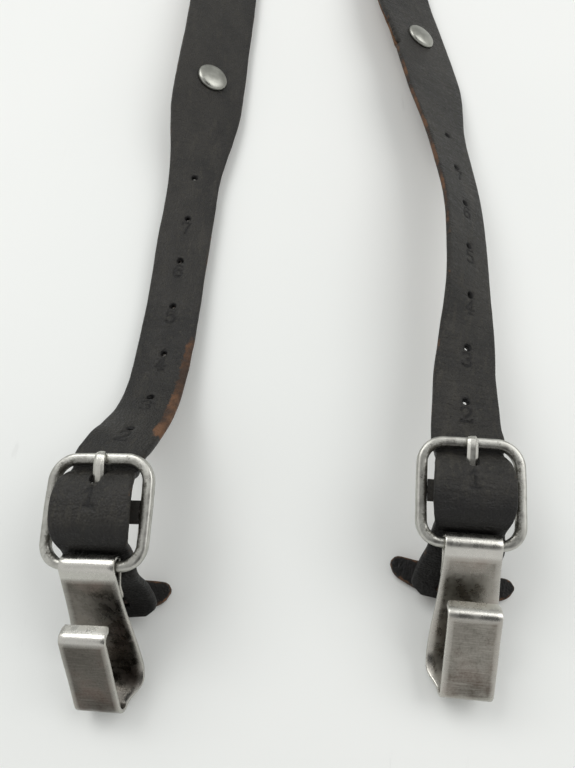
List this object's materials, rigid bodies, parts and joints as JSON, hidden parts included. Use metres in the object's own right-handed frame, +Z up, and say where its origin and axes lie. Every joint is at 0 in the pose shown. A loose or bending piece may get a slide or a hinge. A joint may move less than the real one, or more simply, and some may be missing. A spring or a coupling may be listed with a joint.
{
  "type": "suspenders",
  "caption": "Y-back leather suspenders: punched straps with steel buckles and swinging flat J-hooks, joined by a round back ring, laid out on a table.",
  "frame": {"origin": "bottom centre of the laid-out object's bounding box, on the table", "axes": "+Y from the two front hooks to the rear hook, +X from the left front strap to the right front strap as laid out, +Z up from the table"},
  "size_m": [0.1817, 1.1174, 0.0497],
  "materials": {
    "black_leather": "worn, waxed grain with brown cut edges",
    "brown_leather": "raw flesh side",
    "buckle_steel": "worn nickel plate with dark patina",
    "tongue_steel": "polished by use",
    "hook_steel": "rubbed steel strip, bright bends",
    "rivet_nickel": "dull nickel",
    "rivet_copper": "tarnished copper"
  },
  "bodies": {
    "ring": {"back_ring": "buckle_steel"},
    "left_strap": {"left_strap": "black_leather", "left_stop_tab": "black_leather", "left_loop_rivets": "rivet_copper", "left_lining": "brown_leather", "left_rivet_caps": "rivet_nickel", "left_rivet_posts": "rivet_nickel"},
    "left_buckle": {"left_buckle_frame": "buckle_steel", "left_centre_bar": "buckle_steel"},
    "left_tongue": {"left_tongue": "tongue_steel"},
    "left_hook": {"left_hook": "hook_steel"},
    "right_strap": {"right_strap": "black_leather", "right_stop_tab": "black_leather", "right_loop_rivets": "rivet_copper", "right_lining": "brown_leather", "right_rivet_caps": "rivet_nickel", "right_rivet_posts": "rivet_nickel"},
    "right_buckle": {"right_buckle_frame": "buckle_steel", "right_centre_bar": "buckle_steel"},
    "right_tongue": {"right_tongue": "tongue_steel"},
    "right_hook": {"right_hook": "hook_steel"},
    "rear_strap": {"rear_strap": "black_leather", "rear_stop_tab": "black_leather", "rear_loop_rivets": "rivet_copper"},
    "rear_buckle": {"rear_buckle_frame": "buckle_steel", "rear_centre_bar": "buckle_steel"},
    "rear_tongue": {"rear_tongue": "tongue_steel"},
    "rear_hook": {"rear_hook": "hook_steel"}
  },
  "joints": [
    {"name": "left_strap_on_ring", "type": "hinge", "parent": "ring", "child": "left_strap", "pos_m": [-0.00347, 0.14848, 0.007], "axis": [-0.8829, 0.4695, 0], "range_deg": [-25, 30]},
    {"name": "left_buckle_rock", "type": "hinge", "parent": "left_strap", "child": "left_buckle", "pos_m": [-0.07156, -0.49517, 0.03966], "axis": [0.9887, -0.0553, 0.1392], "range_deg": [-1.5, 1]},
    {"name": "left_tongue_lift", "type": "hinge", "parent": "left_buckle", "child": "left_tongue", "pos_m": [-0.07156, -0.49517, 0.03966], "axis": [0.9887, -0.0553, 0.1392], "range_deg": [0, 5]},
    {"name": "left_hook_swing", "type": "hinge", "parent": "left_buckle", "child": "left_hook", "pos_m": [-0.07258, -0.51289, 0.03694], "axis": [-0.9887, 0.0553, -0.1392], "range_deg": [-8, 130]},
    {"name": "right_strap_on_ring", "type": "hinge", "parent": "ring", "child": "right_strap", "pos_m": [0.02131, 0.14848, 0.007], "axis": [-0.8829, -0.4695, 0], "range_deg": [-25, 30]},
    {"name": "right_buckle_rock", "type": "hinge", "parent": "right_strap", "child": "right_buckle", "pos_m": [0.0598, -0.48698, 0.03328], "axis": [0.9954, -0.0853, 0.0436], "range_deg": [-1.5, 1]},
    {"name": "right_tongue_lift", "type": "hinge", "parent": "right_buckle", "child": "right_tongue", "pos_m": [0.0598, -0.48698, 0.03328], "axis": [0.9954, -0.0853, 0.0436], "range_deg": [0, 5]},
    {"name": "right_hook_swing", "type": "hinge", "parent": "right_buckle", "child": "right_hook", "pos_m": [0.05902, -0.50466, 0.03023], "axis": [-0.9954, 0.0853, -0.0436], "range_deg": [-8, 130]},
    {"name": "rear_strap_on_ring", "type": "hinge", "parent": "ring", "child": "rear_strap", "pos_m": [0.00892, 0.19819, 0.007], "axis": [1, 0, 0], "range_deg": [-40, 90]},
    {"name": "rear_buckle_rock", "type": "hinge", "parent": "rear_strap", "child": "rear_buckle", "pos_m": [0.01801, 0.49114, 0.03411], "axis": [-0.9973, -0.0523, 0.0523], "range_deg": [-1.5, 1]},
    {"name": "rear_tongue_lift", "type": "hinge", "parent": "rear_buckle", "child": "rear_tongue", "pos_m": [0.01801, 0.49114, 0.03411], "axis": [-0.9973, -0.0523, 0.0523], "range_deg": [0, 5]},
    {"name": "rear_hook_swing", "type": "hinge", "parent": "rear_buckle", "child": "rear_hook", "pos_m": [0.01672, 0.50878, 0.03101], "axis": [0.9973, 0.0523, -0.0523], "range_deg": [-8, 130]}
  ]
}
